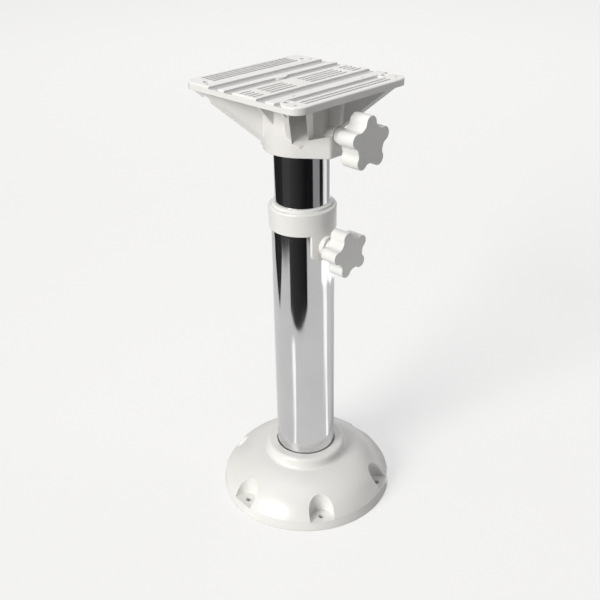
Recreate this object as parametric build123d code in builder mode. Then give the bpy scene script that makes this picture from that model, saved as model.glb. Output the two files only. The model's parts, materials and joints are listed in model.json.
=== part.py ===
from build123d import *
import os
from math import atan2, cos, degrees, radians, sin, sqrt

os.makedirs("parts", exist_ok=True)

# Boat seat pedestal, sizes in millimetres
# The origin is on the column axis at the floor, +Z is up and +X points at both hand knobs

# Base casting
base_r = 114.3
rim_top_r = 112.0
rim_foot_h = 3.0
rim_h = 14.0
rim_fillet = 2.0
dome_sagitta = 9.5
dome_fillet = 5.0
neck_r = 52.5
neck_foot_z = 51.5
neck_top_z = 66.5
neck_fillet = 4.5
neck_lip_gap = 1.4
neck_lip_depth = 6.0
base_wall = 5.5
socket_ring_r = 46.0
socket_shelf_z = 12.0
pocket_count = 6
pocket_az = 25.0
pocket_circle_r = 106.0
pocket_r = 16.4
pocket_floor_z = 12.5
deck_hole_circle_r = 101.5
deck_hole_r = 3.5
under_rib_t = 4.0

# Columns
tube_r = 38.1
tube_wall = 3.2
tube_bore_r = tube_r - tube_wall
tube_top_z = 404.0
mast_r = 33.0
mast_wall = 3.0
mast_bore_r = mast_r - mast_wall
mast_foot_z = 284.0
mast_top_z = 538.0
mast_ring_depth = 16.0
mast_ring_foot = 8.0
mast_ring_wall = 4.0
plug_depth = 18.0
plug_cap_t = 4.0
plug_flange_t = 2.0
washer_t = 1.5
roof_gap = 0.1
run_gap = 0.05

# Collar on the lower tube
collar_r = tube_r + 2.7
collar_bottom_z = tube_top_z - 22.5
collar_top_z = tube_top_z + 5.5
bush_flange_r = 36.2
bush_top_z = collar_top_z + 3.3
bush_foot_z = tube_top_z - 28.0
tongue_half_w = 20.4
tongue_foot_z = collar_bottom_z - 32.0
tongue_overlap = 4.0
height_axis_z = collar_bottom_z - 15.5
height_boss_r = 13.0
height_boss_x = tube_r + 6.9

# Clamp screws
stud_r = 4.9
thread_gap = 0.07
insert_r = 6.5
pad_travel = 1.5
height_pad_r = 6.0
height_pad_tip_x = mast_r + 0.3
height_pad_t = 3.0
swivel_pad_r = 5.0
swivel_groove_r = mast_r - 1.5
swivel_groove_half = 5.5
swivel_pad_tip_x = swivel_groove_r + 0.3
swivel_pad_len = 10.0

# Hand knobs
knob_lobes = 5
knob_neck_r = 9.0
knob_core = 0.69
knob_lobe = 0.27
knob_valley_r = 7.0
knob_front_r = 0.8
knob_back_r = 3.5
height_knob_head_x = height_boss_x + 9.9
height_knob_r = 28.5
height_knob_t = 23.0
height_lobe_az = 31.0
swivel_knob_r = 30.5
swivel_knob_t = 25.2
swivel_lobe_az = 17.0

# Seat mount casting
plate_cx = -6.9
plate_side = 178.0
plate_corner_r = 14.3
plate_edge_r = 1.6
hub_r = 44.7
hub_bore_r = mast_r + 2.5
hub_roof_z = mast_top_z + plug_flange_t + washer_t + roof_gap
plate_bottom_z = hub_roof_z + 4.4
plate_top_z = plate_bottom_z + 8.0
hub_bottom_z = plate_bottom_z - 68.1
hub_fillet = 1.8
swivel_axis_z = hub_bottom_z + 24.8
swivel_bush_len = 15.0
swivel_bush_gap = 0.5
upper_bush_len = 26.0
lug_tip_x = 57.2
lug_half_w = 13.0
lug_corner_r = 4.0
lug_top_z0 = hub_bottom_z + 12.3
lug_top_slope = 0.237
lug_boss_r = 9.5
lug_rib_t = 6.0
lug_rib_foot_x = lug_tip_x + 3.2
lug_rib_head_x = lug_tip_x + 7.0
swivel_knob_head_x = lug_tip_x + 21.1
arm_front_az = 47.5
arm_rear_az = 137.3
arm_start = 20.0
arm_reach = 122.0
arm_inset = 0.6
arm_half_w = 15.7
arm_draft = 1.3
arm_gap = 18.0
arm_edge_rho = hub_r
front_edge_z = plate_bottom_z - 47.5
front_slope = 0.765
front_bevel_rise = 7.0
rear_edge_z = plate_bottom_z - 59.8
rear_slope = 0.803
rear_bevel_rise = 10.8
hub_recess_r = 40.4
recess_ledge_z = plate_bottom_z - 50.5
recess_ledge_drop = 2.5
gusset_t = 3.5
gusset_reach = 73.0
gusset_slope = 1.15
gusset_foot_z = plate_bottom_z - gusset_slope * (gusset_reach - hub_r)

# Ribbed top of the plate
groove_depth = 2.2
fine_depth = 1.2
seat_hole_dx = 63.5
seat_hole_dy = 76.2
seat_hole_r = 4.0
seat_boss_r = 7.5
groove_len = plate_side + 10.0
slot_len = plate_side - 42.0


# Base casting: the outside is turned, and the cavity under it is made as a separate core
with BuildPart() as base_core:
    with BuildSketch(Plane.XZ) as core_profile:
        with BuildLine() as core_line:
            core_floor = Line((socket_ring_r, 0), (base_r - base_wall, 0))
            core_side = Line(core_floor @ 1, (rim_top_r - base_wall, rim_h - base_wall))
            core_roof = SagittaArc(core_side @ 1, (socket_ring_r, neck_foot_z - base_wall), -dome_sagitta)
            core_inner = Line(core_roof @ 1, core_floor @ 0)
        make_face()
    revolve(axis=Axis.Z)
    with BuildSketch(Plane.XY) as core_rib_plan:
        with PolarLocations((socket_ring_r + base_r) / 2, pocket_count, start_angle=pocket_az + 30.0):
            Rectangle(base_r - socket_ring_r + 12.0, under_rib_t)
        with PolarLocations(pocket_circle_r, pocket_count, start_angle=pocket_az):
            Circle(pocket_r + 4.0)
    extrude(amount=neck_top_z, mode=Mode.SUBTRACT)

with BuildPart() as base_casting:
    with BuildSketch(Plane.XZ) as base_profile:
        with BuildLine() as base_line:
            base_floor = Line((tube_r, 0), (base_r, 0))
            base_foot = Line(base_floor @ 1, (base_r, rim_foot_h))
            base_side = Line(base_foot @ 1, (rim_top_r, rim_h))
            base_dome = SagittaArc(base_side @ 1, (neck_r, neck_foot_z), -dome_sagitta)
            base_neck = Line(base_dome @ 1, (neck_r, neck_top_z))
            base_lip = Line(base_neck @ 1, (tube_r, neck_top_z))
            base_bore = Line(base_lip @ 1, base_floor @ 0)
        make_face()
        fillet(base_profile.vertices().sort_by_distance((rim_top_r, rim_h))[0], radius=rim_fillet)
        fillet(base_profile.vertices().sort_by_distance((neck_r, neck_foot_z))[0], radius=dome_fillet)
        fillet(base_profile.vertices().sort_by_distance((neck_r, neck_top_z))[0], radius=neck_fillet)
        fillet(base_profile.vertices().sort_by_distance((base_r, 0))[0], radius=0.8)
    revolve(axis=Axis.Z)
    with BuildSketch(Plane.XY) as shelf_plan:
        Circle(tube_r + 1.0)
        Circle(tube_bore_r - 1.5, mode=Mode.SUBTRACT)
    extrude(amount=socket_shelf_z)
    with BuildSketch(Plane.XY.offset(neck_top_z - neck_lip_depth)) as lip_plan:
        Circle(tube_r + neck_lip_gap)
    extrude(amount=neck_lip_depth + 1.0, mode=Mode.SUBTRACT)
    add(base_core.part, mode=Mode.SUBTRACT)
    with BuildSketch(Plane.XY.offset(pocket_floor_z)) as pocket_plan:
        with PolarLocations(pocket_circle_r, pocket_count, start_angle=pocket_az):
            Circle(pocket_r)
    extrude(amount=neck_top_z, mode=Mode.SUBTRACT)
    with BuildSketch(Plane.XY) as deck_hole_plan:
        with PolarLocations(deck_hole_circle_r, pocket_count, start_angle=pocket_az):
            Circle(deck_hole_r)
    extrude(amount=pocket_floor_z, mode=Mode.SUBTRACT)

# Three grub screws in the socket wall, reached from the hollow underside
lock_screw_z = 22.0
lock_screw_r = 3.0
lock_screw_len = 8.5
lock_screw_az = (pocket_az, pocket_az + 120.0, pocket_az + 240.0)

with BuildPart() as tube_lock_screws:
    for az in lock_screw_az:
        screw_dir = Vector(cos(radians(az)), sin(radians(az)), 0)
        screw_start = screw_dir * tube_r + Vector(0, 0, lock_screw_z)
        with BuildSketch(Plane(origin=screw_start, z_dir=screw_dir)) as screw_plan:
            Circle(lock_screw_r)
        extrude(amount=lock_screw_len)
        with BuildSketch(Plane(origin=screw_start + screw_dir * lock_screw_len, z_dir=screw_dir)) as hex_plan:
            RegularPolygon(lock_screw_r / 2, 6)
        extrude(amount=-lock_screw_r, mode=Mode.SUBTRACT)

with BuildPart(mode=Mode.PRIVATE) as lock_screw_bores:
    for az in lock_screw_az:
        bore_dir = Vector(cos(radians(az)), sin(radians(az)), 0)
        with BuildSketch(Plane(origin=bore_dir * tube_bore_r + Vector(0, 0, lock_screw_z), z_dir=bore_dir)) as bore_plan:
            Circle(lock_screw_r)
        extrude(amount=socket_ring_r - tube_bore_r + 2.0)

with base_casting:
    add(lock_screw_bores.part, mode=Mode.SUBTRACT)

base_casting.part.label = "base_casting"
tube_lock_screws.part.label = "tube_lock_screws"

# Lower tube, with the hole for the height pad
with BuildPart() as lower_tube:
    with BuildSketch(Plane.XY.offset(socket_shelf_z)) as lower_tube_plan:
        Circle(tube_r)
        Circle(tube_bore_r, mode=Mode.SUBTRACT)
    extrude(amount=tube_top_z - socket_shelf_z)
    with BuildSketch(Plane(origin=(tube_bore_r / 2, 0, height_axis_z), z_dir=(1, 0, 0))) as tube_hole_plan:
        Circle(height_pad_r + run_gap)
    extrude(amount=tube_r, mode=Mode.SUBTRACT)
lower_tube.part.label = "lower_tube"

# Collar: a turned cap with a tongue and a screw boss on the knob side
with BuildPart() as collar_tongue:
    with BuildSketch(Plane.XY.offset(tongue_foot_z)) as tongue_ring:
        Circle(collar_r)
        Circle(tube_r, mode=Mode.SUBTRACT)
    extrude(amount=collar_bottom_z - tongue_foot_z + tongue_overlap)
    with BuildSketch(Plane.YZ) as tongue_face:
        with Locations((0, collar_bottom_z - tongue_overlap)):
            RectangleRounded(2 * tongue_half_w, 2 * (collar_bottom_z - tongue_overlap - tongue_foot_z), 8.0)
    extrude(amount=collar_r + 10.0, mode=Mode.INTERSECT)
    with BuildSketch(Plane(origin=(tube_r - 3.0, 0, height_axis_z), z_dir=(1, 0, 0))) as boss_plan:
        Circle(height_boss_r)
    extrude(amount=height_boss_x - tube_r + 3.0)
    fillet(collar_tongue.edges().filter_by(GeomType.CIRCLE).sort_by(Axis.X)[-1], radius=1.5)
    with BuildSketch(Plane.XY.offset(tongue_foot_z - 5.0)) as collar_bore_plan:
        Circle(tube_r)
    extrude(amount=collar_top_z - tongue_foot_z, mode=Mode.SUBTRACT)

set_screw_az = (95.0, 175.0)
set_screw_z = tube_top_z - 11.0
set_screw_r = 2.5

with BuildPart() as collar:
    with BuildSketch(Plane.XZ) as collar_profile:
        with BuildLine() as collar_line:
            Polyline(
                (tube_r, collar_bottom_z),
                (collar_r, collar_bottom_z),
                (collar_r, collar_top_z),
                (bush_flange_r, collar_top_z),
                (bush_flange_r, tube_top_z),
                (tube_r, tube_top_z),
                close=True,
            )
        make_face()
        fillet(collar_profile.vertices().sort_by_distance((collar_r, collar_top_z))[0], radius=2.5)
        fillet(collar_profile.vertices().sort_by_distance((collar_r, collar_bottom_z))[0], radius=0.8)
    revolve(axis=Axis.Z)
    add(collar_tongue.part)
    with BuildSketch(Plane(origin=(tube_bore_r / 2, 0, height_axis_z), z_dir=(1, 0, 0))) as pad_relief_plan:
        Circle(height_pad_r + run_gap)
    extrude(amount=tube_r + 0.5 - tube_bore_r / 2, mode=Mode.SUBTRACT)
    with BuildSketch(Plane(origin=(tube_bore_r / 2, 0, height_axis_z), z_dir=(1, 0, 0))) as height_thread_plan:
        Circle(stud_r + thread_gap)
    extrude(amount=height_boss_x, mode=Mode.SUBTRACT)
    for az in set_screw_az:
        set_dir = Vector(cos(radians(az)), sin(radians(az)), 0)
        with BuildSketch(Plane(origin=set_dir * tube_bore_r + Vector(0, 0, set_screw_z), z_dir=set_dir)) as set_plan:
            Circle(set_screw_r)
        extrude(amount=collar_r - tube_bore_r + 2.0, mode=Mode.SUBTRACT)
collar.part.label = "collar"

with BuildPart() as collar_set_screws:
    for az in set_screw_az:
        set_dir = Vector(cos(radians(az)), sin(radians(az)), 0)
        set_start = set_dir * tube_r + Vector(0, 0, set_screw_z)
        with BuildSketch(Plane(origin=set_start, z_dir=set_dir)) as set_body_plan:
            Circle(set_screw_r)
        extrude(amount=collar_r - tube_r - 0.2)
        with BuildSketch(Plane(origin=set_start + set_dir * (collar_r - tube_r - 0.2), z_dir=set_dir)) as set_hex_plan:
            RegularPolygon(set_screw_r / 2, 6)
        extrude(amount=-1.5, mode=Mode.SUBTRACT)
collar_set_screws.part.label = "collar_set_screws"

# Nylon sleeve in the head of the lower tube, with its flange in the collar
with BuildPart() as collar_bush:
    with BuildSketch(Plane.XZ) as collar_bush_profile:
        with BuildLine() as collar_bush_line:
            Polyline(
                (mast_r + run_gap, bush_foot_z),
                (tube_bore_r, bush_foot_z),
                (tube_bore_r, tube_top_z),
                (bush_flange_r, tube_top_z),
                (bush_flange_r, bush_top_z),
                (mast_r + run_gap, bush_top_z),
                close=True,
            )
        make_face()
        fillet(collar_bush_profile.vertices().sort_by_distance((bush_flange_r, bush_top_z))[0], radius=1.0)
    revolve(axis=Axis.Z)
collar_bush.part.label = "collar_bush"

# Upper tube, with the retaining groove for the swivel pad
with BuildPart() as upper_tube:
    with BuildSketch(Plane.XZ) as upper_tube_profile:
        with Locations(((mast_r + mast_bore_r) / 2, (mast_top_z + mast_foot_z) / 2)):
            Rectangle(mast_wall, mast_top_z - mast_foot_z)
        with Locations((swivel_groove_r + 1.0, swivel_axis_z)):
            Rectangle(2.0, 2 * swivel_groove_half, mode=Mode.SUBTRACT)
        with Locations((mast_r + 0.5, swivel_axis_z)):
            Rectangle(1.0, 2 * swivel_groove_half, mode=Mode.SUBTRACT)
    revolve(axis=Axis.Z)
upper_tube.part.label = "upper_tube"

# Guide ring plugged into the foot of the upper tube
with BuildPart() as mast_guide_ring:
    with BuildSketch(Plane.XZ) as guide_profile:
        with BuildLine() as guide_line:
            Polyline(
                (mast_bore_r - mast_ring_wall, mast_foot_z - mast_ring_foot),
                (tube_bore_r - run_gap, mast_foot_z - mast_ring_foot),
                (tube_bore_r - run_gap, mast_foot_z),
                (mast_bore_r, mast_foot_z),
                (mast_bore_r, mast_foot_z + mast_ring_depth),
                (mast_bore_r - mast_ring_wall, mast_foot_z + mast_ring_depth),
                close=True,
            )
        make_face()
    revolve(axis=Axis.Z)
mast_guide_ring.part.label = "mast_guide_ring"

# Plug in the head of the upper tube, and the washer that the seat mount turns on
with BuildPart() as mast_top_plug:
    with BuildSketch(Plane.XY.offset(mast_top_z - plug_depth)) as plug_body_plan:
        Circle(mast_bore_r)
    extrude(amount=plug_depth)
    with BuildSketch(Plane.XY.offset(mast_top_z)) as plug_flange_plan:
        Circle(mast_r - 0.2)
    extrude(amount=plug_flange_t)
    with BuildSketch(Plane.XY.offset(mast_top_z - plug_depth)) as plug_hollow_plan:
        Circle(mast_bore_r - mast_ring_wall)
    extrude(amount=plug_depth - plug_cap_t, mode=Mode.SUBTRACT)
mast_top_plug.part.label = "mast_top_plug"

with BuildPart() as thrust_washer:
    with BuildSketch(Plane.XY.offset(mast_top_z + plug_flange_t)) as washer_plan:
        Circle(mast_r - 1.0)
        Circle(10.0, mode=Mode.SUBTRACT)
    extrude(amount=washer_t)
thrust_washer.part.label = "thrust_washer"

# Hollow arms along +X: tapered blocks with bevelled lower edges, the front pair and the rear pair
front_bevel_k = front_bevel_rise / (arm_half_w - arm_gap / 2)
rear_bevel_k = rear_bevel_rise / (arm_half_w - arm_gap / 2)

with BuildPart() as front_arm:
    with BuildSketch(Plane(origin=(0, 0, plate_bottom_z), x_dir=(1, 0, 0), z_dir=(0, 0, -1))) as front_arm_plan:
        with Locations(((arm_start + arm_reach) / 2, 0)):
            Rectangle(arm_reach - arm_start, 2 * arm_half_w)
    extrude(amount=plate_bottom_z - hub_bottom_z - 4.0, taper=arm_draft)
    split(
        bisect_by=Plane(
            origin=(arm_edge_rho, arm_gap / 2, front_edge_z),
            x_dir=(1, 0, front_slope),
            z_dir=(-front_slope, -front_bevel_k, 1),
        ),
        keep=Keep.TOP,
    )
    split(
        bisect_by=Plane(
            origin=(arm_edge_rho, -arm_gap / 2, front_edge_z),
            x_dir=(1, 0, front_slope),
            z_dir=(-front_slope, front_bevel_k, 1),
        ),
        keep=Keep.TOP,
    )

with BuildPart() as rear_arm:
    with BuildSketch(Plane(origin=(0, 0, plate_bottom_z), x_dir=(1, 0, 0), z_dir=(0, 0, -1))) as rear_arm_plan:
        with Locations(((arm_start + arm_reach) / 2, 0)):
            Rectangle(arm_reach - arm_start, 2 * arm_half_w)
    extrude(amount=plate_bottom_z - hub_bottom_z - 4.0, taper=arm_draft)
    split(
        bisect_by=Plane(
            origin=(arm_edge_rho, arm_gap / 2, rear_edge_z),
            x_dir=(1, 0, rear_slope),
            z_dir=(-rear_slope, -rear_bevel_k, 1),
        ),
        keep=Keep.TOP,
    )
    split(
        bisect_by=Plane(
            origin=(arm_edge_rho, -arm_gap / 2, rear_edge_z),
            x_dir=(1, 0, rear_slope),
            z_dir=(-rear_slope, rear_bevel_k, 1),
        ),
        keep=Keep.TOP,
    )

with BuildPart() as arms:
    add(front_arm.part, rotation=(0, 0, arm_front_az))
    add(front_arm.part, rotation=(0, 0, -arm_front_az))
    add(rear_arm.part, rotation=(0, 0, arm_rear_az))
    add(rear_arm.part, rotation=(0, 0, -arm_rear_az))
    with BuildSketch(Plane.XY.offset(hub_bottom_z)) as arms_clip_plan:
        with Locations((plate_cx, 0)):
            RectangleRounded(plate_side - 2 * arm_inset, plate_side - 2 * arm_inset, plate_corner_r - arm_inset)
    extrude(amount=plate_bottom_z - hub_bottom_z, mode=Mode.INTERSECT)

# The channel of the arm, which also runs a little way into the hub above a sloping ledge
with BuildPart() as arm_channel:
    with BuildSketch(Plane.XZ) as channel_side:
        with BuildLine() as channel_line:
            Polyline(
                (hub_recess_r, recess_ledge_z),
                (hub_r + 1.5, recess_ledge_z - recess_ledge_drop),
                (hub_r + 1.5, hub_bottom_z - 5.0),
                (arm_reach + 10.0, hub_bottom_z - 5.0),
                (arm_reach + 10.0, plate_bottom_z),
                (hub_recess_r, plate_bottom_z),
                close=True,
            )
        make_face()
    extrude(amount=arm_gap / 2, both=True)

# Clamp lug: a teardrop in plan, with a top that rises towards its tip
lug_turn = atan2(lug_half_w, lug_tip_x)
lug_reach = sqrt(lug_tip_x**2 + lug_half_w**2)
tangent_turn = degrees(lug_turn) + degrees(atan2(sqrt(lug_reach**2 - hub_r**2), hub_r))
tangent_x = hub_r * cos(radians(tangent_turn))
tangent_y = hub_r * sin(radians(tangent_turn))

with BuildPart() as lug:
    with BuildSketch(Plane.XY.offset(hub_bottom_z)) as lug_plan:
        with BuildLine() as lug_line:
            Polyline(
                (0, tangent_y),
                (tangent_x, tangent_y),
                (lug_tip_x, lug_half_w),
                (lug_tip_x, -lug_half_w),
                (tangent_x, -tangent_y),
                (0, -tangent_y),
                close=True,
            )
        make_face()
        fillet(lug_plan.vertices().group_by(Axis.X)[-1], radius=lug_corner_r)
    extrude(amount=plate_bottom_z - hub_bottom_z)
    with BuildSketch(Plane.XZ) as lug_side:
        with BuildLine() as lug_side_line:
            Polyline(
                (0, hub_bottom_z),
                (lug_tip_x + 5.0, hub_bottom_z),
                (lug_tip_x + 5.0, lug_top_z0 + lug_top_slope * (lug_tip_x + 5.0)),
                (0, lug_top_z0),
                close=True,
            )
        make_face()
    extrude(amount=hub_r + 5.0, both=True, mode=Mode.INTERSECT)

# Middle gusset along +X
with BuildPart() as gusset:
    with BuildSketch(Plane.XZ) as gusset_side:
        with BuildLine() as gusset_line:
            Polyline(
                (hub_r - 3.0, gusset_foot_z - 3.0 * gusset_slope),
                (gusset_reach, plate_bottom_z),
                (hub_r - 3.0, plate_bottom_z),
                close=True,
            )
        make_face()
    extrude(amount=gusset_t / 2, both=True)

# Recesses in the plate top: four wide grooves and three bands of fine ones, all along Y
with BuildPart() as wide_grooves:
    with BuildSketch(Plane.XY.offset(plate_top_z - groove_depth)) as wide_plan:
        with Locations((-44.0, 0)):
            Rectangle(15.6, groove_len)
        with Locations((-19.8, 0)):
            Rectangle(13.0, groove_len)
        with Locations((30.3, 0)):
            Rectangle(13.6, groove_len)
        with Locations((55.3, 0)):
            Rectangle(10.2, groove_len)
        with Locations((plate_cx + seat_hole_dx, seat_hole_dy), (plate_cx + seat_hole_dx, -seat_hole_dy)):
            Circle(seat_boss_r, mode=Mode.SUBTRACT)
        with Locations((-27.0, -4.0)):
            Ellipse(5.0, 9.0, mode=Mode.SUBTRACT)
    extrude(amount=groove_depth + 1.0)

with BuildPart() as fine_grooves:
    with BuildSketch(Plane.XY.offset(plate_top_z - fine_depth)) as fine_plan:
        with Locations((-78.5, 0)):
            with GridLocations(6.2, 0, 4, 1):
                SlotOverall(slot_len, 4.0, rotation=90)
        with Locations((5.3, 0)):
            with GridLocations(6.6, 0, 4, 1):
                Rectangle(3.2, plate_side - 8.0)
        with Locations((5.3, 64.5), (5.3, -64.5)):
            Rectangle(30.0, 8.0, mode=Mode.SUBTRACT)
        with Locations((5.3, -10.0)):
            Rectangle(30.0, 20.0, mode=Mode.SUBTRACT)
        with Locations((70.1, 0)):
            with GridLocations(6.4, 0, 2, 1):
                SlotOverall(slot_len, 3.2, rotation=90)
    extrude(amount=fine_depth + 1.0)

pilot_r = 2.2
with BuildPart() as seat_mount:
    with BuildSketch(Plane.XY.offset(hub_bottom_z)) as hub_plan:
        Circle(hub_r)
    extrude(amount=plate_bottom_z - hub_bottom_z)
    add(lug.part)
    fillet(seat_mount.edges().group_by(Axis.Z)[0], radius=hub_fillet)
    add(arms.part)
    for az in (90.0, 180.0, 270.0):
        add(gusset.part, rotation=(0, 0, az))
    with BuildSketch(Plane(origin=(hub_r - 5.0, 0, swivel_axis_z), z_dir=(1, 0, 0))) as lug_boss_plan:
        Circle(lug_boss_r)
    extrude(amount=lug_tip_x - hub_r + 5.0)
    with BuildSketch(Plane.XZ) as lug_rib_side:
        with BuildLine() as lug_rib_line:
            Polyline(
                (hub_r - 3.0, swivel_axis_z),
                (lug_tip_x - 1.0, swivel_axis_z),
                (lug_tip_x - 1.0, swivel_axis_z + knob_neck_r),
                (lug_rib_foot_x, swivel_axis_z + knob_neck_r + 3.0),
                (lug_rib_head_x, plate_bottom_z),
                (hub_r - 3.0, plate_bottom_z),
                close=True,
            )
        make_face()
    extrude(amount=lug_rib_t / 2, both=True)
    for az in (arm_front_az, -arm_front_az, arm_rear_az, -arm_rear_az):
        add(arm_channel.part, rotation=(0, 0, az), mode=Mode.SUBTRACT)
    with BuildSketch(Plane.XY.offset(plate_bottom_z)) as plate_plan:
        with Locations((plate_cx, 0)):
            RectangleRounded(plate_side, plate_side, plate_corner_r)
    extrude(amount=plate_top_z - plate_bottom_z)
    fillet(seat_mount.edges().group_by(Axis.Z)[-1], radius=plate_edge_r)
    with BuildSketch(Plane.XY.offset(hub_bottom_z - 1.0)) as hub_bore_plan:
        Circle(hub_bore_r)
    extrude(amount=hub_roof_z - hub_bottom_z + 1.0, mode=Mode.SUBTRACT)
    with BuildSketch(Plane(origin=(hub_bore_r - 5.0, 0, swivel_axis_z), z_dir=(1, 0, 0))) as pad_bore_plan:
        Circle(swivel_pad_r + run_gap)
    extrude(amount=swivel_pad_tip_x + swivel_pad_len + pad_travel + 0.3 - hub_bore_r + 5.0, mode=Mode.SUBTRACT)
    with BuildSketch(Plane(origin=(hub_bore_r, 0, swivel_axis_z), z_dir=(1, 0, 0))) as swivel_thread_plan:
        Circle(stud_r + thread_gap)
    extrude(amount=lug_tip_x, mode=Mode.SUBTRACT)
    add(wide_grooves.part, mode=Mode.SUBTRACT)
    add(fine_grooves.part, mode=Mode.SUBTRACT)
    with BuildSketch(Plane.XY.offset(plate_top_z)) as seat_hole_plan:
        with Locations((plate_cx, 0)):
            with GridLocations(2 * seat_hole_dx, 2 * seat_hole_dy, 2, 2):
                Circle(seat_hole_r)
        with Locations((72.0, 79.0), (72.0, -79.0), (-61.5, 81.0), (-61.5, -81.0)):
            Circle(pilot_r)
        with Locations((-40.0, 68.0), (-40.0, -68.0), (44.2, 54.0), (44.2, -54.0)):
            Circle(pilot_r)
    extrude(amount=hub_bottom_z - plate_top_z, mode=Mode.SUBTRACT)
seat_mount.part.label = "seat_mount"

# Bearing sleeves in the hub
with BuildPart() as lower_swivel_bush:
    with BuildSketch(Plane.XY.offset(hub_bottom_z + swivel_bush_gap)) as lower_bush_plan:
        Circle(hub_bore_r)
        Circle(mast_r + run_gap, mode=Mode.SUBTRACT)
    extrude(amount=swivel_bush_len)
lower_swivel_bush.part.label = "lower_swivel_bush"

with BuildPart() as upper_swivel_bush:
    with BuildSketch(Plane.XY.offset(mast_top_z - upper_bush_len)) as upper_bush_plan:
        Circle(hub_bore_r)
        Circle(mast_r + run_gap, mode=Mode.SUBTRACT)
    extrude(amount=upper_bush_len)
upper_swivel_bush.part.label = "upper_swivel_bush"

# Height clamp: pad, stud, insert and knob on one axis
insert_depth = 11.5
height_stud_x = height_pad_tip_x + height_pad_t
height_neck_x = height_boss_x + 0.4
height_bore_end = height_knob_head_x + insert_depth

with BuildPart() as height_pad:
    with BuildSketch(Plane(origin=(height_pad_tip_x, 0, height_axis_z), z_dir=(1, 0, 0))) as height_pad_plan:
        Circle(height_pad_r)
    extrude(amount=height_pad_t)
height_pad.part.label = "height_pad"

with BuildPart() as height_stud:
    with BuildSketch(Plane(origin=(height_stud_x, 0, height_axis_z), z_dir=(1, 0, 0))) as height_stud_plan:
        Circle(stud_r)
    extrude(amount=height_bore_end - height_stud_x)
    chamfer(height_stud.edges().group_by(Axis.X)[0], length=0.8)
height_stud.part.label = "height_stud"

with BuildPart() as height_knob_insert:
    with BuildSketch(Plane(origin=(height_neck_x, 0, height_axis_z), z_dir=(1, 0, 0))) as height_insert_plan:
        Circle(insert_r)
        Circle(stud_r, mode=Mode.SUBTRACT)
    extrude(amount=height_bore_end - height_neck_x)
height_knob_insert.part.label = "height_knob_insert"

with BuildPart() as height_knob:
    with BuildSketch(
        Plane(origin=(height_knob_head_x, 0, height_axis_z), x_dir=(0, 1, 0), z_dir=(1, 0, 0))
    ) as height_head_plan:
        Circle(height_knob_r * knob_core)
        with PolarLocations(height_knob_r * (1 - knob_lobe), knob_lobes, start_angle=height_lobe_az):
            Circle(height_knob_r * knob_lobe)
        fillet(height_head_plan.vertices(), radius=knob_valley_r)
    extrude(amount=height_knob_t)
    fillet(height_knob.edges().group_by(Axis.X)[-1], radius=knob_front_r)
    fillet(height_knob.edges().group_by(Axis.X)[0], radius=knob_back_r)
    with BuildSketch(Plane(origin=(height_neck_x, 0, height_axis_z), z_dir=(1, 0, 0))) as height_neck_plan:
        Circle(knob_neck_r)
    extrude(amount=height_knob_head_x - height_neck_x + 1.0)
    with BuildSketch(Plane(origin=(height_neck_x, 0, height_axis_z), z_dir=(1, 0, 0))) as height_bore_plan:
        Circle(insert_r)
    extrude(amount=height_bore_end - height_neck_x, mode=Mode.SUBTRACT)
height_knob.part.label = "height_knob"

# Swivel clamp, the same screw with a longer neck
swivel_stud_x = swivel_pad_tip_x + swivel_pad_len
swivel_neck_x = lug_tip_x + 0.8
swivel_bore_end = swivel_knob_head_x + insert_depth

with BuildPart() as swivel_pad:
    with BuildSketch(Plane(origin=(swivel_pad_tip_x, 0, swivel_axis_z), z_dir=(1, 0, 0))) as swivel_pad_plan:
        Circle(swivel_pad_r)
    extrude(amount=swivel_pad_len)
swivel_pad.part.label = "swivel_pad"

with BuildPart() as swivel_stud:
    with BuildSketch(Plane(origin=(swivel_stud_x, 0, swivel_axis_z), z_dir=(1, 0, 0))) as swivel_stud_plan:
        Circle(stud_r)
    extrude(amount=swivel_bore_end - swivel_stud_x)
    chamfer(swivel_stud.edges().group_by(Axis.X)[0], length=0.8)
swivel_stud.part.label = "swivel_stud"

with BuildPart() as swivel_knob_insert:
    with BuildSketch(Plane(origin=(swivel_neck_x, 0, swivel_axis_z), z_dir=(1, 0, 0))) as swivel_insert_plan:
        Circle(insert_r)
        Circle(stud_r, mode=Mode.SUBTRACT)
    extrude(amount=swivel_bore_end - swivel_neck_x)
swivel_knob_insert.part.label = "swivel_knob_insert"

with BuildPart() as swivel_knob:
    with BuildSketch(
        Plane(origin=(swivel_knob_head_x, 0, swivel_axis_z), x_dir=(0, 1, 0), z_dir=(1, 0, 0))
    ) as swivel_head_plan:
        Circle(swivel_knob_r * knob_core)
        with PolarLocations(swivel_knob_r * (1 - knob_lobe), knob_lobes, start_angle=swivel_lobe_az):
            Circle(swivel_knob_r * knob_lobe)
        fillet(swivel_head_plan.vertices(), radius=knob_valley_r)
    extrude(amount=swivel_knob_t)
    fillet(swivel_knob.edges().group_by(Axis.X)[-1], radius=knob_front_r)
    fillet(swivel_knob.edges().group_by(Axis.X)[0], radius=knob_back_r)
    with BuildSketch(Plane(origin=(swivel_neck_x, 0, swivel_axis_z), z_dir=(1, 0, 0))) as swivel_neck_plan:
        Circle(knob_neck_r)
    extrude(amount=swivel_knob_head_x - swivel_neck_x + 1.0)
    with BuildSketch(Plane(origin=(swivel_neck_x, 0, swivel_axis_z), z_dir=(1, 0, 0))) as swivel_bore_plan:
        Circle(insert_r)
    extrude(amount=swivel_bore_end - swivel_neck_x, mode=Mode.SUBTRACT)
swivel_knob.part.label = "swivel_knob"

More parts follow.
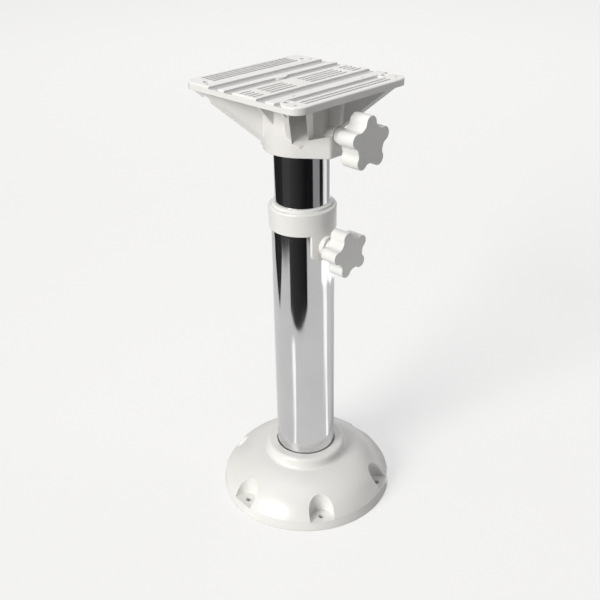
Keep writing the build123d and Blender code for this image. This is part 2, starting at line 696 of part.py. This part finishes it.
export_step(base_casting.part, "parts/base_casting.step")
export_step(lower_tube.part, "parts/lower_tube.step")
export_step(tube_lock_screws.part, "parts/tube_lock_screws.step")
export_step(collar.part, "parts/collar.step")
export_step(collar_bush.part, "parts/collar_bush.step")
export_step(collar_set_screws.part, "parts/collar_set_screws.step")
export_step(upper_tube.part, "parts/upper_tube.step")
export_step(mast_guide_ring.part, "parts/mast_guide_ring.step")
export_step(mast_top_plug.part, "parts/mast_top_plug.step")
export_step(thrust_washer.part, "parts/thrust_washer.step")
export_step(seat_mount.part, "parts/seat_mount.step")
export_step(lower_swivel_bush.part, "parts/lower_swivel_bush.step")
export_step(upper_swivel_bush.part, "parts/upper_swivel_bush.step")
export_step(height_pad.part, "parts/height_pad.step")
export_step(height_stud.part, "parts/height_stud.step")
export_step(height_knob_insert.part, "parts/height_knob_insert.step")
export_step(height_knob.part, "parts/height_knob.step")
export_step(swivel_pad.part, "parts/swivel_pad.step")
export_step(swivel_stud.part, "parts/swivel_stud.step")
export_step(swivel_knob_insert.part, "parts/swivel_knob_insert.step")
export_step(swivel_knob.part, "parts/swivel_knob.step")
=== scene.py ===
import json
import math
import bpy
from mathutils import Matrix, Vector


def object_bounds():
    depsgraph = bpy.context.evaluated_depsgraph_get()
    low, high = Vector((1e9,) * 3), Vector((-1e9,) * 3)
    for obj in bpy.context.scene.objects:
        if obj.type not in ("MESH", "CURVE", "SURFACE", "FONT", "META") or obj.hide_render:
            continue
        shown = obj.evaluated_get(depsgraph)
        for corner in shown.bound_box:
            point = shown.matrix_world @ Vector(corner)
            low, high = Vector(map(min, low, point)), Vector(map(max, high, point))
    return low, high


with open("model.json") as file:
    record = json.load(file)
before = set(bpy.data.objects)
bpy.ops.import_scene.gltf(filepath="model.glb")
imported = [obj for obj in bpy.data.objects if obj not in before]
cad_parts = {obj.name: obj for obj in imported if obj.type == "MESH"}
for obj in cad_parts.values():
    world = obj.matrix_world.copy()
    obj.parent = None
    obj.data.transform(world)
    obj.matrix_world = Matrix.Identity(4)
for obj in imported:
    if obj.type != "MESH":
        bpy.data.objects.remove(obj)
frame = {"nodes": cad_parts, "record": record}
before = [list(corner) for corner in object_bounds()]
nodes = frame["nodes"]
scene = bpy.context.scene
plate_top = before[1][2]
WHITE = (1.0, 1.0, 1.0)


# Nodes that the materials share

# Sockets of a colour Mix node, where several share one name
MIX_FACTOR = 0
MIX_A = 6
MIX_B = 7
MIX_RESULT = 2


def material(name, color, rough, metallic=0.0, **sockets):
    """A material on the Principled shader, with its node tree and its shader."""
    surface = bpy.data.materials.new(name)
    surface.use_nodes = True
    shader = surface.node_tree.nodes["Principled BSDF"]
    shader.inputs["Base Color"].default_value = (*color, 1)
    shader.inputs["Roughness"].default_value = rough
    shader.inputs["Metallic"].default_value = metallic
    for key, value in sockets.items():
        shader.inputs[key.replace("_", " ")].default_value = value
    return surface, surface.node_tree, shader


def empty_material(name):
    """A material with no nodes yet, for surfaces that aren't built on the Principled shader."""
    surface = bpy.data.materials.new(name)
    surface.use_nodes = True
    surface.node_tree.nodes.clear()
    return surface, surface.node_tree


def node(tree, kind, **props):
    added = tree.nodes.new(kind)
    for key, value in props.items():
        setattr(added, key, value)
    return added


def math_node(tree, operation, first, second):
    """A Math node on a socket and either another socket or a number."""
    added = node(tree, "ShaderNodeMath", operation=operation)
    tree.links.new(first, added.inputs[0])
    if isinstance(second, float):
        added.inputs[1].default_value = second
    else:
        tree.links.new(second, added.inputs[1])
    return added.outputs[0]


def noise(tree, scale, detail=2.0, stretch=(1, 1, 1)):
    """Noise in the object's own metres, stretched along an axis where a process has a direction."""
    coord = node(tree, "ShaderNodeTexCoord")
    mapping = node(tree, "ShaderNodeMapping")
    mapping.inputs["Scale"].default_value = stretch
    tree.links.new(coord.outputs["Object"], mapping.inputs["Vector"])
    texture = node(tree, "ShaderNodeTexNoise")
    texture.inputs["Scale"].default_value = scale
    texture.inputs["Detail"].default_value = detail
    tree.links.new(mapping.outputs["Vector"], texture.inputs["Vector"])
    return texture.outputs["Fac"]


def mix_color(tree, shader, factor, low, high):
    """Joins the shader's colour to one between two, and returns it for use elsewhere."""
    ramp = node(tree, "ShaderNodeValToRGB")
    ramp.color_ramp.elements[0].position = 0.35
    ramp.color_ramp.elements[1].position = 0.65
    ramp.color_ramp.elements[0].color = (*low, 1)
    ramp.color_ramp.elements[1].color = (*high, 1)
    tree.links.new(factor, ramp.inputs["Fac"])
    tree.links.new(ramp.outputs["Color"], shader.inputs["Base Color"])
    return ramp.outputs["Color"]


def uneven_gloss(tree, shader, factor, low, high):
    """Roughness between two values, which changes over the middle of the noise."""
    scaled = node(tree, "ShaderNodeMapRange")
    scaled.inputs["From Min"].default_value = 0.3
    scaled.inputs["From Max"].default_value = 0.7
    scaled.inputs["To Min"].default_value = low
    scaled.inputs["To Max"].default_value = high
    tree.links.new(factor, scaled.inputs["Value"])
    tree.links.new(scaled.outputs["Result"], shader.inputs["Roughness"])


def bump(tree, shader, height, strength, distance):
    relief = node(tree, "ShaderNodeBump")
    relief.inputs["Strength"].default_value = strength
    relief.inputs["Distance"].default_value = distance
    tree.links.new(height, relief.inputs["Height"])
    tree.links.new(relief.outputs["Normal"], shader.inputs["Normal"])


def painted_recess_shade_mask(tree):
    """One on the floors of the seat plate's recesses, where painted shade greys the coat, and zero
    elsewhere.
    """
    lowest_floor = plate_top - 0.0030
    highest_floor = plate_top - 0.0006
    facing_up = 0.8
    coord = node(tree, "ShaderNodeTexCoord")
    place = node(tree, "ShaderNodeSeparateXYZ")
    facing = node(tree, "ShaderNodeSeparateXYZ")
    tree.links.new(coord.outputs["Object"], place.inputs[0])
    tree.links.new(coord.outputs["Normal"], facing.inputs[0])
    above = math_node(tree, "GREATER_THAN", place.outputs["Z"], lowest_floor)
    below = math_node(tree, "LESS_THAN", place.outputs["Z"], highest_floor)
    up = math_node(tree, "GREATER_THAN", facing.outputs["Z"], facing_up)
    both = math_node(tree, "MULTIPLY", above, below)
    return math_node(tree, "MULTIPLY", both, up)


# Materials of the part

def white_coat():
    """White powder coat on a casting: fine orange peel, a little uneven, with painted shade making it
    greyer on the floors of the plate's recesses.
    """
    warm = (0.765, 0.76, 0.745)
    pale = (0.80, 0.795, 0.785)
    painted_recess_shade_grey = (0.50, 0.50, 0.505, 1)
    gloss = {"Coat_Weight": 0.3, "Coat_Roughness": 0.18}
    surface, tree, shader = material("white_coat", (0.78, 0.775, 0.76), 0.34, **gloss)
    coat = mix_color(tree, shader, noise(tree, scale=14, detail=3), warm, pale)
    # Painted shade: the coat is mixed towards grey on the upward floors of the plate's recesses
    painted_recess_shade = node(tree, "ShaderNodeMix", data_type="RGBA")
    painted_recess_shade.inputs[MIX_B].default_value = painted_recess_shade_grey
    tree.links.new(painted_recess_shade_mask(tree), painted_recess_shade.inputs[MIX_FACTOR])
    tree.links.new(coat, painted_recess_shade.inputs[MIX_A])
    tree.links.new(painted_recess_shade.outputs[MIX_RESULT], shader.inputs["Base Color"])
    uneven_gloss(tree, shader, noise(tree, scale=60), 0.30, 0.38)
    bump(tree, shader, noise(tree, scale=900), 0.10, 0.0003)
    return surface


def polished_tube():
    """Polished aluminium: faint drawing lines along the tube."""
    surface, tree, shader = material("polished_tube", (0.72, 0.72, 0.735), 0.07, metallic=1.0)
    lines = noise(tree, scale=500, stretch=(1, 1, 0.01))
    uneven_gloss(tree, shader, lines, 0.05, 0.10)
    mix_color(tree, shader, noise(tree, scale=25), (0.70, 0.70, 0.715), (0.735, 0.735, 0.75))
    bump(tree, shader, lines, 0.02, 0.0001)
    return surface


def knob_plastic():
    """Moulded white plastic with a soft gloss."""
    gloss = {"Coat_Weight": 0.2, "Coat_Roughness": 0.15}
    surface, tree, shader = material("white_knob", (0.80, 0.80, 0.79), 0.30, **gloss)
    mix_color(tree, shader, noise(tree, scale=30), (0.79, 0.79, 0.78), (0.815, 0.815, 0.81))
    uneven_gloss(tree, shader, noise(tree, scale=120), 0.27, 0.36)
    bump(tree, shader, noise(tree, scale=1500), 0.05, 0.0002)
    return surface


def nylon():
    """Off-white nylon that lets a little light in."""
    surface, tree, shader = material("nylon", (0.80, 0.80, 0.78), 0.35, Subsurface_Weight=0.05)
    mix_color(tree, shader, noise(tree, scale=80), (0.78, 0.78, 0.76), (0.82, 0.82, 0.80))
    bump(tree, shader, noise(tree, scale=1200), 0.05, 0.0002)
    return surface


def steel():
    """Steel with fine marks that are long in X, the axis of both clamp screws."""
    surface, tree, shader = material("steel", (0.55, 0.55, 0.56), 0.3, metallic=1.0)
    uneven_gloss(tree, shader, noise(tree, scale=700, stretch=(0.05, 1, 1)), 0.22, 0.38)
    bump(tree, shader, noise(tree, scale=900, stretch=(0.05, 1, 1)), 0.05, 0.0001)
    return surface


def brass():
    """Brass of the inserts in the hand knobs."""
    surface, tree, shader = material("brass", (0.72, 0.53, 0.25), 0.28, metallic=1.0)
    uneven_gloss(tree, shader, noise(tree, scale=400), 0.22, 0.36)
    return surface


finishes = {
    "white_coat": white_coat(),
    "polished_tube": polished_tube(),
    "white_knob": knob_plastic(),
    "nylon": nylon(),
    "steel": steel(),
    "brass": brass(),
}
for entry in frame["record"]["subparts"]:
    for material_slot in nodes[entry["node"]].material_slots:
        material_slot.material = finishes[entry["material_slot"]]


# Camera, fitted to the photograph

camera_height = 0.7805
camera_distance = 0.9366
pitch = math.radians(28.2)
roll = math.radians(-1.0)
yaw = math.radians(-0.3)
turn = math.radians(44.8)
focal_length = 50.78
sensor_width = 36

forward = Vector((math.sin(yaw) * math.cos(pitch), math.cos(yaw) * math.cos(pitch), -math.sin(pitch)))
right = Vector((math.cos(yaw), -math.sin(yaw), 0))
up = right.cross(forward)
right_rolled = math.cos(roll) * right + math.sin(roll) * up
up_rolled = math.cos(roll) * up - math.sin(roll) * right
spin = Matrix.Rotation(turn, 3, "Z")
axes = [spin @ axis for axis in (right_rolled, up_rolled, -forward)]
camera_place = spin @ Vector((0, -camera_distance, camera_height))

camera = bpy.data.objects.new("camera", bpy.data.cameras.new("camera"))
scene.collection.objects.link(camera)
camera.matrix_world = Matrix.Translation(camera_place) @ Matrix(axes).transposed().to_4x4()
camera.data.lens = focal_length
camera.data.sensor_width = sensor_width
camera.data.clip_start = 0.01
scene.camera = camera


# Floor

def around(azimuth, distance, z=0.0):
    """A point at an azimuth in degrees and a distance from the column's axis."""
    angle = math.radians(azimuth)
    return Vector((math.cos(angle) * distance, math.sin(angle) * distance, z))


def plane(name, corners):
    """A flat piece of the studio, which isn't part of the object."""
    mesh = bpy.data.meshes.new(name)
    mesh.from_pydata(corners, [], [tuple(range(len(corners)))])
    flat = bpy.data.objects.new(name, mesh)
    scene.collection.objects.link(flat)
    return flat


def floor_material():
    """Pale paper, evened out where the camera sees it, and duller where it only throws light back."""
    bounce_tone = 0.42
    seen_tone = 0.95
    mirrored_share = 0.87
    evened_share = 0.56
    surface, tree = empty_material("floor")
    path = node(tree, "ShaderNodeLightPath")
    tone = node(tree, "ShaderNodeMix", data_type="RGBA")
    tone.inputs[MIX_A].default_value = (bounce_tone, bounce_tone, bounce_tone, 1)
    tone.inputs[MIX_B].default_value = (seen_tone, seen_tone, seen_tone, 1)
    mirrored = math_node(tree, "MULTIPLY", path.outputs["Is Glossy Ray"], mirrored_share)
    level = math_node(tree, "MAXIMUM", path.outputs["Is Camera Ray"], mirrored)
    tree.links.new(level, tone.inputs[MIX_FACTOR])
    paper = node(tree, "ShaderNodeBsdfDiffuse")
    tree.links.new(tone.outputs[MIX_RESULT], paper.inputs["Color"])
    glow = node(tree, "ShaderNodeEmission")
    glow.inputs["Color"].default_value = (*WHITE, 1)
    evened = math_node(tree, "MULTIPLY", path.outputs["Is Camera Ray"], evened_share)
    mix = node(tree, "ShaderNodeMixShader")
    tree.links.new(evened, mix.inputs["Fac"])
    tree.links.new(paper.outputs[0], mix.inputs[1])
    tree.links.new(glow.outputs[0], mix.inputs[2])
    tree.links.new(mix.outputs[0], node(tree, "ShaderNodeOutputMaterial").inputs["Surface"])
    return surface


floor_half = 12
floor_signs = ((-1, -1), (1, -1), (1, 1), (-1, 1))
floor = plane("floor", [(x * floor_half, y * floor_half, 0) for x, y in floor_signs])
floor.data.materials.append(floor_material())


# Studio cards, seen only in reflections

def edge_fade(tree, along, soft):
    """One in the middle of a card and zero at both ends, with soft ends."""
    ramp = node(tree, "ShaderNodeValToRGB")
    ramp.color_ramp.interpolation = "EASE"
    stops = ramp.color_ramp.elements
    stops.new(1 - soft)
    stops.new(soft)
    for stop, (place, value) in zip(stops, ((0, 0), (soft, 1), (1 - soft, 1), (1, 0))):
        stop.position = place
        stop.color = (value, value, value, 1)
    tree.links.new(along, ramp.inputs["Fac"])
    return ramp.outputs["Color"]


def card_material(name, level, level_end, soft, soft_top, soft_foot):
    """A glow that goes from one level to another along the card and fades out at its edges."""
    surface, tree = empty_material(name)
    uv = node(tree, "ShaderNodeUVMap")
    uv.uv_map = "uv"
    split = node(tree, "ShaderNodeSeparateXYZ")
    tree.links.new(uv.outputs[0], split.inputs[0])
    across = edge_fade(tree, split.outputs["X"], soft)
    rise = node(tree, "ShaderNodeMapRange")
    rise.inputs["From Min"].default_value = 1.0
    rise.inputs["From Max"].default_value = 1.0 - soft_top
    tree.links.new(split.outputs["Y"], rise.inputs["Value"])
    cover = math_node(tree, "MULTIPLY", across, rise.outputs["Result"])
    if soft_foot:
        foot = node(tree, "ShaderNodeMapRange", interpolation_type="SMOOTHSTEP")
        foot.inputs["From Max"].default_value = soft_foot
        tree.links.new(split.outputs["Y"], foot.inputs["Value"])
        cover = math_node(tree, "MULTIPLY", cover, foot.outputs["Result"])
    glow = node(tree, "ShaderNodeEmission")
    tone = node(tree, "ShaderNodeMapRange")
    tone.inputs["To Min"].default_value = level
    tone.inputs["To Max"].default_value = level_end
    tree.links.new(split.outputs["X"], tone.inputs["Value"])
    tree.links.new(tone.outputs["Result"], glow.inputs["Strength"])
    mix = node(tree, "ShaderNodeMixShader")
    tree.links.new(cover, mix.inputs["Fac"])
    tree.links.new(node(tree, "ShaderNodeBsdfTransparent").outputs[0], mix.inputs[1])
    tree.links.new(glow.outputs[0], mix.inputs[2])
    tree.links.new(mix.outputs[0], node(tree, "ShaderNodeOutputMaterial").inputs["Surface"])
    return surface


def reflected(name, corners, look):
    """A plane that only glossy rays meet. Its corners run along its foot and back along its top."""
    flat = plane(name, corners)
    layer = flat.data.uv_layers.new(name="uv")
    for loop, uv in zip(layer.data, ((0, 0), (1, 0), (1, 1), (0, 1))):
        loop.uv = uv
    flat.data.materials.append(look)
    flat.visible_camera = False
    flat.visible_diffuse = False
    flat.visible_shadow = False
    flat.visible_transmission = False


def card(name, start, end, height, level, soft=0.05, soft_top=0.1, soft_foot=0.0, level_end=None):
    """An upright card from one azimuth and distance to another, of one level or with another at its end."""
    corners = [around(*start), around(*end), around(*end, height), around(*start, height)]
    if level_end is None:
        level_end = level
    reflected(name, corners, card_material(name, level, level_end, soft, soft_top, soft_foot))


def strip(name, azimuth, half_angle, near, far, level, soft=0.4, soft_top=0.1):
    """A strip that lies on the floor and points away from the column."""
    above_floor = 0.002
    low = azimuth - half_angle
    high = azimuth + half_angle
    corners = [around(*end, above_floor) for end in ((low, near), (high, near), (high, far), (low, far))]
    reflected(name, corners, card_material(name, level, level, soft, soft_top, soft_foot=0.0))


# On the left and in front: dark cards, taller than the whole part
tall = 0.75
card("card_front", (-96, 0.555), (-31, 0.572), tall, level=0.05, soft=0.04, level_end=0.006)
card("card_front_end", (-40, 0.93), (1, 0.93), tall, level=0.009, soft=0.08)
card("card_left_far", (-198, 1.40), (-165, 0.84), tall, level=0.02, soft=0.03)
card("card_left", (-167, 0.80), (-145, 0.53), tall, level=0.02, soft=0.03)
card("card_left_near", (-146, 0.53), (-127, 0.80), tall, level=0.025, soft=0.04)
card("card_middle", (-160, 0.997), (-72, 0.93), tall, level=0.06, soft=0.03, soft_foot=0.10)

# On the right and behind: grey and white cards, and a dark one that gives the tubes a dark line
medium = 0.55
card("card_grey", (-3, 0.88), (31, 0.86), medium, level=0.30, soft=0.10)
card("card_line", (27, 0.84), (52, 0.84), medium, level=0.015, soft=0.12)
card("card_white_a", (49, 0.80), (78, 0.80), medium, level=1.05, soft=0.3)
card("card_mid", (64, 0.82), (108, 0.82), medium, level=0.40, soft=0.12)
card("card_white_b", (100, 0.78), (150, 0.78), medium, level=1.15, soft=0.2)

# Low white cards in a row on the right and behind, each a little over the next
low_height = 0.17
low_distance = 0.66
low_angle = 33
for first in (22, 54, 86, 118):
    start = (first, low_distance)
    end = (first + low_angle, low_distance)
    card(f"card_low_{first}", start, end, low_height, level=1.45, soft=0.04, soft_top=0.35)

strip("streak_right", 38, 12, near=0.10, far=0.68, level=1.3, soft=0.3, soft_top=0.02)
strip("streak_front", -87, 9, near=0.10, far=0.46, level=1.3)
strip("shade_right", 124, 14, near=0.06, far=0.52, level=0.42, soft_top=0.2)


# Lamps

def sun(name, azimuth, elevation, spread, power, color):
    """A soft lamp far away, in the direction of an azimuth and an elevation in degrees."""
    light = bpy.data.lights.new(name, "SUN")
    light.angle = math.radians(spread)
    light.energy = power
    light.color = color
    lamp = bpy.data.objects.new(name, light)
    rise = math.radians(elevation)
    toward = around(azimuth, math.cos(rise), math.sin(rise))
    lamp.location = toward * 3
    lamp.rotation_euler = toward.to_track_quat("Z", "Y").to_euler()
    scene.collection.objects.link(lamp)


def panel(name, place, size, power):
    """A square lamp that hangs level and shines down."""
    light = bpy.data.lights.new(name, "AREA")
    light.size = size
    light.energy = power
    lamp = bpy.data.objects.new(name, light)
    lamp.location = place
    scene.collection.objects.link(lamp)
    return lamp


sun("key", azimuth=-90, elevation=24, spread=30, power=3.05, color=(1.0, 0.98, 0.94))
sun("right", azimuth=70, elevation=35, spread=60, power=0.5, color=WHITE)
panel("overhead", (-0.1, -0.15, 1.25), size=0.7, power=1.9)

# Over the floor behind the part, where it evens out the background and isn't mirrored
backdrop_lamp = panel("backdrop_lamp", around(134.8, 2.6, 1.6), size=3.0, power=8.5)
backdrop_lamp.visible_glossy = False


# World: soft light from all round, and a pale background where it is seen or mirrored

ambient_strength = 0.2
background_tone = 0.922

world = bpy.data.worlds.new("world")
scene.world = world
world.use_nodes = True
world_tree = world.node_tree
world_tree.nodes.clear()
ambient = node(world_tree, "ShaderNodeBackground")
ambient.inputs["Color"].default_value = (*WHITE, 1)
ambient.inputs["Strength"].default_value = ambient_strength
pale = node(world_tree, "ShaderNodeBackground")
pale.inputs["Color"].default_value = (background_tone, background_tone, background_tone, 1)
pale.inputs["Strength"].default_value = 1.0
rays = node(world_tree, "ShaderNodeLightPath").outputs
seen = math_node(world_tree, "MAXIMUM", rays["Is Camera Ray"], rays["Is Glossy Ray"])
world_mix = node(world_tree, "ShaderNodeMixShader")
world_tree.links.new(seen, world_mix.inputs["Fac"])
world_tree.links.new(ambient.outputs[0], world_mix.inputs[1])
world_tree.links.new(pale.outputs[0], world_mix.inputs[2])
world_tree.links.new(world_mix.outputs[0], node(world_tree, "ShaderNodeOutputWorld").inputs["Surface"])

scene.view_settings.view_transform = "Standard"
